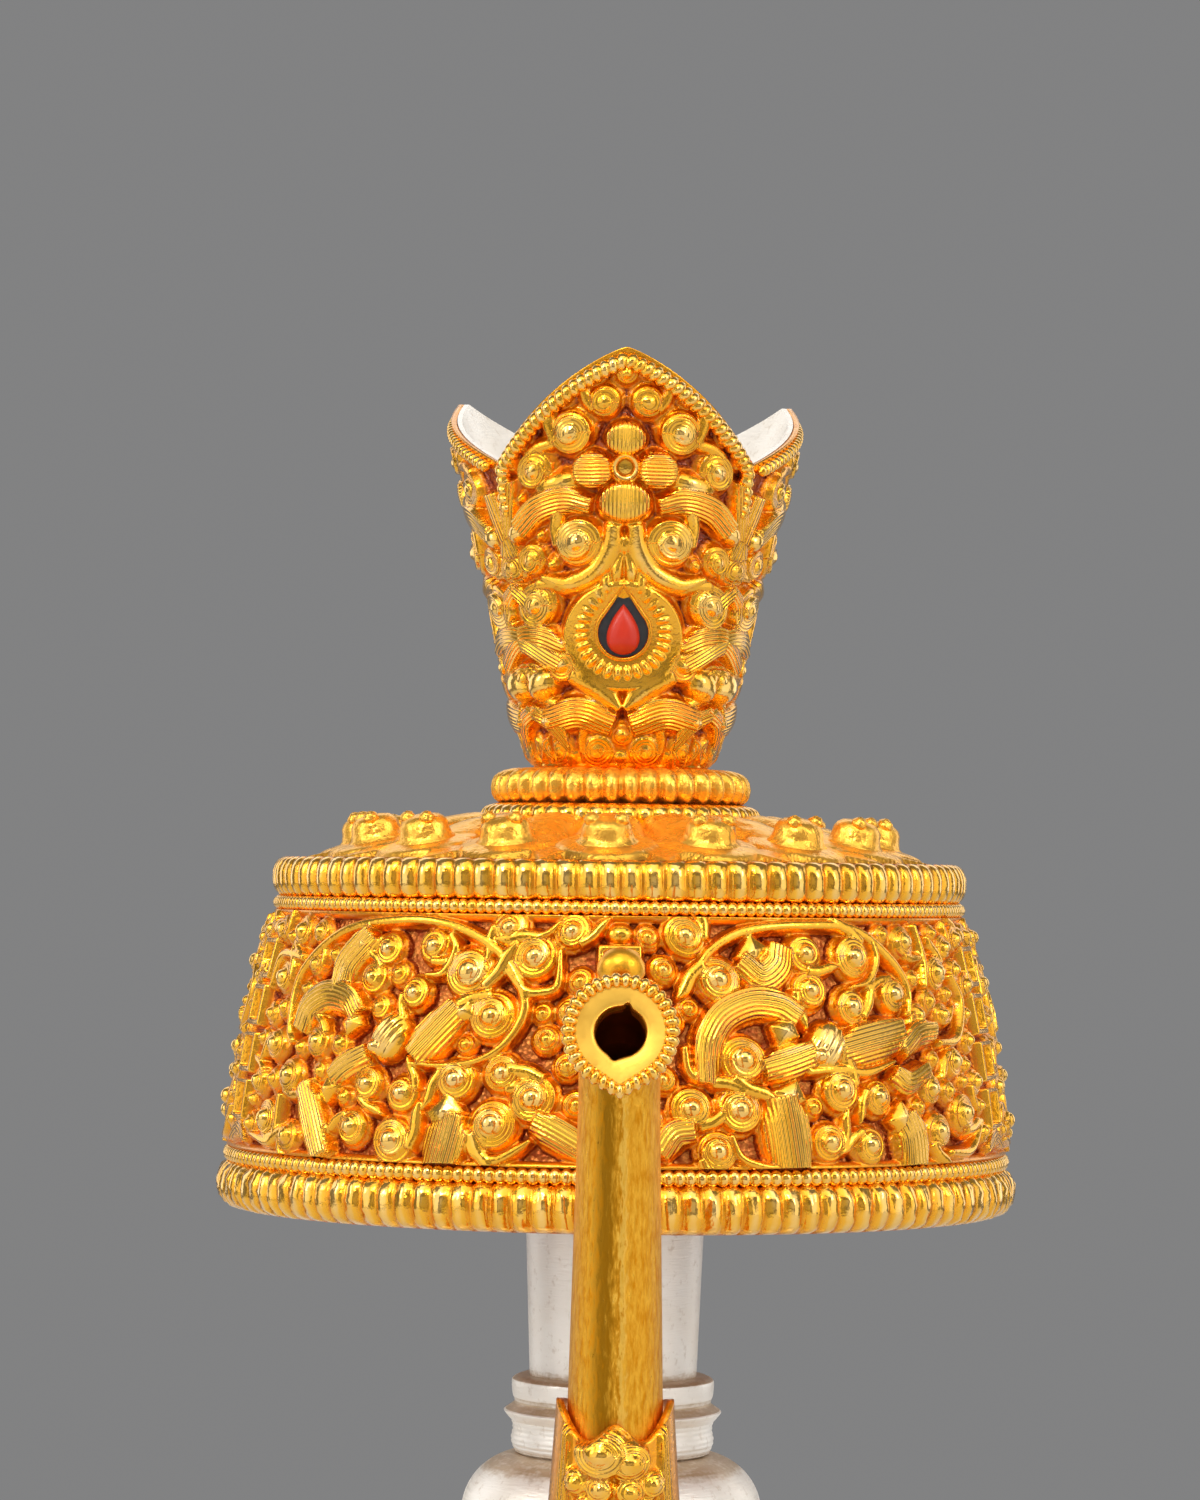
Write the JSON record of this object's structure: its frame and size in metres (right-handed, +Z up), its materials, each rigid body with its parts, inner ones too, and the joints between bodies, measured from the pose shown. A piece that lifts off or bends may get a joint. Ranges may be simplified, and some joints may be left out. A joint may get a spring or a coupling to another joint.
{
  "type": "tibetan bumpa vase",
  "caption": "Spouted ritual water vase: round silver belly on a gilt lotus foot, slender neck, lift-off gilt canopy of scrollwork and a lift-out petalled funnel crown set with coral.",
  "frame": {"origin": "centre of the base plate's resting face, on the vase's axis", "axes": "+Z up along the vase's axis, the spout points to -Y, +X to the right as seen from the spout's side"},
  "size_m": [0.11, 0.1406, 0.2528],
  "materials": {
    "gilt": "polished gilding, warmer and matte in the recesses",
    "silver": "satin white silver with brown patina in the grooves",
    "red_backing": "matte red-orange tone behind the pierced work",
    "coral": "polished red coral",
    "pitch": "dark setting pitch"
  },
  "bodies": {
    "vase": {"base_plate": "gilt", "foot": "gilt", "foot_petals": "gilt", "foot_lower_ring": "gilt", "foot_upper_ring": "gilt", "belly_bowl": "silver", "belly_dome": "silver", "neck_knop": "silver", "neck_collar": "silver", "neck_tube": "silver", "spout_root": "gilt", "spout_socket": "gilt", "spout_scroll": "gilt", "spout_tube": "gilt", "spout_mouth": "gilt", "spout_beaded_rim": "gilt", "spout_finial": "gilt"},
    "canopy": {"canopy_top_plate": "gilt", "canopy_petals": "gilt", "canopy_bosses": "gilt", "canopy_seat_ring": "gilt", "canopy_upper_ring": "gilt", "canopy_upper_wire": "gilt", "canopy_liner": "red_backing", "canopy_band": "gilt", "canopy_scrollwork": "gilt", "canopy_snails": "gilt", "canopy_lower_wire": "gilt", "canopy_lower_ring": "gilt", "canopy_sleeve": "gilt"},
    "crown": {"crown_shell": "gilt", "crown_lining": "silver", "crown_rim_wire": "gilt", "crown_base_ring": "gilt", "crown_stem": "silver", "crown_snails": "gilt", "stone_bezels": "gilt", "pitch_beds": "pitch", "coral_stones": "coral", "flowers": "gilt"}
  },
  "joints": [
    {"name": "canopy_lift", "type": "slide", "parent": "vase", "child": "canopy", "axis": [0, 0, 1], "range_m": [0, 0.06]},
    {"name": "crown_lift", "type": "slide", "parent": "canopy", "child": "crown", "axis": [0, 0, 1], "range_m": [0, 0.045]}
  ]
}
